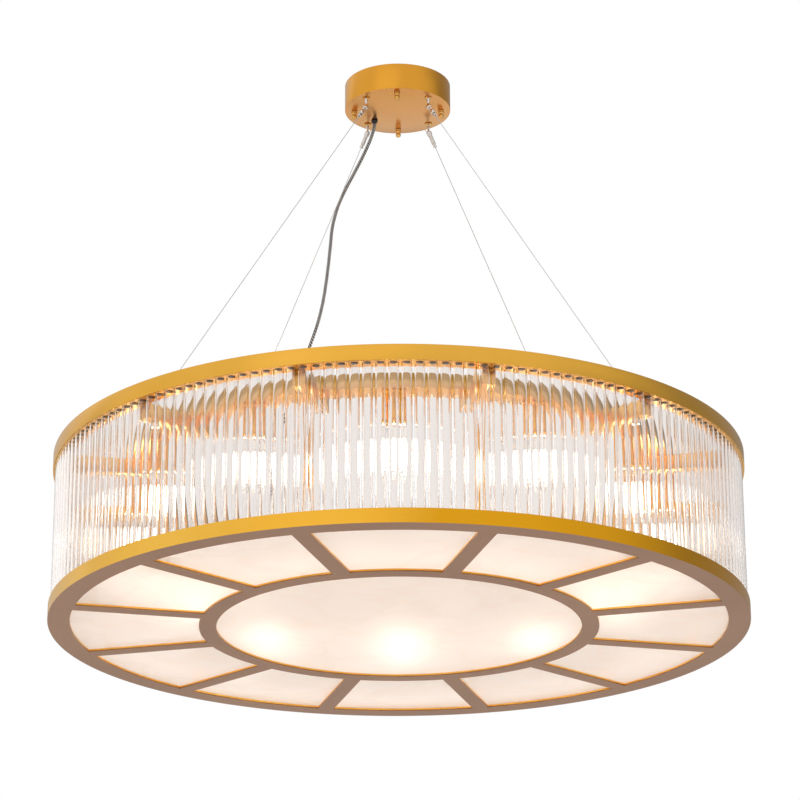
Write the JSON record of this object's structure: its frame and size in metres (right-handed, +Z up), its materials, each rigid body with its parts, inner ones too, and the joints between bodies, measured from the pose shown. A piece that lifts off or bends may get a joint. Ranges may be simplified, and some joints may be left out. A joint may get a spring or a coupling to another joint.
{
  "type": "drum chandelier",
  "caption": "Round pendant chandelier: a ring of hollow glass tubes in brass bands, hung on cables from a canopy, with candle lamps above frosted diffusers.",
  "frame": {"origin": "centre of the ceiling bracket's top face, which lies against the ceiling", "axes": "+Z up out of the ceiling face; azimuth 0 is the -Y side, which the picture shows nearest to the camera"},
  "size_m": [1, 1, 0.859],
  "materials": {
    "bracket_steel": "zinc-plated pressed steel",
    "polished_brass": "polished brass-plated steel with a clear lacquer",
    "terminal_plastic": "moulded terminal block plastic",
    "gland_nylon": "black nylon",
    "cord_jacket": "dark grey PVC jacket",
    "nut_brass": "turned and polished brass",
    "grip_chrome": "bright chrome plate",
    "cable_steel": "stranded stainless steel wire rope",
    "brushed_brass": "polished brass-plated band, faint draw lines",
    "warm_brass": "brass-plated laser-cut plate with a satin underside",
    "frosted_acrylic": "frosted acrylic sheet, lit from behind",
    "channel_brass": "brass-plated folded channel and flat bars",
    "tube_glass": "clear drawn glass tube",
    "holder_brass": "brass-plated candle sleeve",
    "lamp_glow": "lit candle lamp with a clear crystal end"
  },
  "bodies": {
    "canopy": {"ceiling_bracket": "bracket_steel", "canopy_shell": "polished_brass", "terminal_block": "terminal_plastic", "cord_gland": "gland_nylon", "power_cord": "cord_jacket", "cap_nut_1": "nut_brass", "cap_nut_2": "nut_brass", "cap_nut_3": "nut_brass", "cap_nut_4": "nut_brass", "grip_stem_1": "grip_chrome", "grip_stem_2": "grip_chrome", "grip_stem_3": "grip_chrome", "grip_stem_4": "grip_chrome"},
    "drum": {"upper_ring": "brushed_brass", "bottom_frame": "warm_brass", "centre_diffuser": "frosted_acrylic", "outer_diffuser": "frosted_acrylic", "lamp_carrier": "channel_brass", "glass_tube_bank_1": "tube_glass", "glass_tube_bank_2": "tube_glass", "glass_tube_bank_3": "tube_glass", "glass_tube_bank_4": "tube_glass", "glass_tube_bank_5": "tube_glass", "glass_tube_bank_6": "tube_glass", "lampholder_01": "holder_brass", "lampholder_02": "holder_brass", "lampholder_03": "holder_brass", "lampholder_04": "holder_brass", "lampholder_05": "holder_brass", "lampholder_06": "holder_brass", "lampholder_07": "holder_brass", "lampholder_08": "holder_brass", "lampholder_09": "holder_brass", "lampholder_10": "holder_brass", "lampholder_11": "holder_brass", "lampholder_12": "holder_brass"},
    "cable_1": {"grip_barrel_1": "grip_chrome", "suspension_cable_1": "cable_steel"},
    "cable_2": {"grip_barrel_2": "grip_chrome", "suspension_cable_2": "cable_steel"},
    "cable_3": {"grip_barrel_3": "grip_chrome", "suspension_cable_3": "cable_steel"},
    "cable_4": {"grip_barrel_4": "grip_chrome", "suspension_cable_4": "cable_steel"},
    "plunger_1": {"grip_plunger_1": "grip_chrome"},
    "plunger_2": {"grip_plunger_2": "grip_chrome"},
    "plunger_3": {"grip_plunger_3": "grip_chrome"},
    "plunger_4": {"grip_plunger_4": "grip_chrome"},
    "lamp_01": {"candle_lamp_01": "lamp_glow"},
    "lamp_02": {"candle_lamp_02": "lamp_glow"},
    "lamp_03": {"candle_lamp_03": "lamp_glow"},
    "lamp_04": {"candle_lamp_04": "lamp_glow"},
    "lamp_05": {"candle_lamp_05": "lamp_glow"},
    "lamp_06": {"candle_lamp_06": "lamp_glow"},
    "lamp_07": {"candle_lamp_07": "lamp_glow"},
    "lamp_08": {"candle_lamp_08": "lamp_glow"},
    "lamp_09": {"candle_lamp_09": "lamp_glow"},
    "lamp_10": {"candle_lamp_10": "lamp_glow"},
    "lamp_11": {"candle_lamp_11": "lamp_glow"},
    "lamp_12": {"candle_lamp_12": "lamp_glow"}
  },
  "joints": [
    {"name": "sway", "type": "hinge", "parent": "canopy", "child": "drum", "pos_m": [0, 0, 0.04182], "axis": [0, 1, 0], "range_deg": [-3, 3], "deforming": ["power_cord"]},
    {"name": "cable_1_swing", "type": "hinge", "parent": "canopy", "child": "cable_1", "pos_m": [0.04667, -0.04667, -0.055], "axis": [0, 1, 0], "range_deg": [-3.6, 3.6]},
    {"name": "cable_2_swing", "type": "hinge", "parent": "canopy", "child": "cable_2", "pos_m": [0.04667, 0.04667, -0.055], "axis": [0, 1, 0], "range_deg": [-3.6, 3.6]},
    {"name": "cable_3_swing", "type": "hinge", "parent": "canopy", "child": "cable_3", "pos_m": [-0.04667, 0.04667, -0.055], "axis": [0, 1, 0], "range_deg": [-3.6, 3.6]},
    {"name": "cable_4_swing", "type": "hinge", "parent": "canopy", "child": "cable_4", "pos_m": [-0.04667, -0.04667, -0.055], "axis": [0, 1, 0], "range_deg": [-3.6, 3.6]},
    {"name": "plunger_1_press", "type": "slide", "parent": "cable_1", "child": "plunger_1", "axis": [-0.3983, 0.3983, 0.8263], "range_m": [0, 0.002], "stiffness_N_per_m": 200, "springref_m": -0.004},
    {"name": "plunger_2_press", "type": "slide", "parent": "cable_2", "child": "plunger_2", "axis": [-0.3983, -0.3983, 0.8263], "range_m": [0, 0.002], "stiffness_N_per_m": 200, "springref_m": -0.004},
    {"name": "plunger_3_press", "type": "slide", "parent": "cable_3", "child": "plunger_3", "axis": [0.3983, -0.3983, 0.8263], "range_m": [0, 0.002], "stiffness_N_per_m": 200, "springref_m": -0.004},
    {"name": "plunger_4_press", "type": "slide", "parent": "cable_4", "child": "plunger_4", "axis": [0.3983, 0.3983, 0.8263], "range_m": [0, 0.002], "stiffness_N_per_m": 200, "springref_m": -0.004},
    {"name": "lamp_01_unscrew", "type": "slide", "parent": "drum", "child": "lamp_01", "axis": [0, 0, -1], "range_m": [0, 0.025]},
    {"name": "lamp_02_unscrew", "type": "slide", "parent": "drum", "child": "lamp_02", "axis": [0, 0, -1], "range_m": [0, 0.025]},
    {"name": "lamp_03_unscrew", "type": "slide", "parent": "drum", "child": "lamp_03", "axis": [0, 0, -1], "range_m": [0, 0.025]},
    {"name": "lamp_04_unscrew", "type": "slide", "parent": "drum", "child": "lamp_04", "axis": [0, 0, -1], "range_m": [0, 0.025]},
    {"name": "lamp_05_unscrew", "type": "slide", "parent": "drum", "child": "lamp_05", "axis": [0, 0, -1], "range_m": [0, 0.025]},
    {"name": "lamp_06_unscrew", "type": "slide", "parent": "drum", "child": "lamp_06", "axis": [0, 0, -1], "range_m": [0, 0.025]},
    {"name": "lamp_07_unscrew", "type": "slide", "parent": "drum", "child": "lamp_07", "axis": [0, 0, -1], "range_m": [0, 0.025]},
    {"name": "lamp_08_unscrew", "type": "slide", "parent": "drum", "child": "lamp_08", "axis": [0, 0, -1], "range_m": [0, 0.025]},
    {"name": "lamp_09_unscrew", "type": "slide", "parent": "drum", "child": "lamp_09", "axis": [0, 0, -1], "range_m": [0, 0.025]},
    {"name": "lamp_10_unscrew", "type": "slide", "parent": "drum", "child": "lamp_10", "axis": [0, 0, -1], "range_m": [0, 0.025]},
    {"name": "lamp_11_unscrew", "type": "slide", "parent": "drum", "child": "lamp_11", "axis": [0, 0, -1], "range_m": [0, 0.025]},
    {"name": "lamp_12_unscrew", "type": "slide", "parent": "drum", "child": "lamp_12", "axis": [0, 0, -1], "range_m": [0, 0.025]}
  ],
  "couplings": [
    {"joint": "cable_1_swing", "follows": "sway", "ratio": 1.1675},
    {"joint": "cable_2_swing", "follows": "sway", "ratio": 1.1675},
    {"joint": "cable_3_swing", "follows": "sway", "ratio": 1.1675},
    {"joint": "cable_4_swing", "follows": "sway", "ratio": 1.1675}
  ]
}
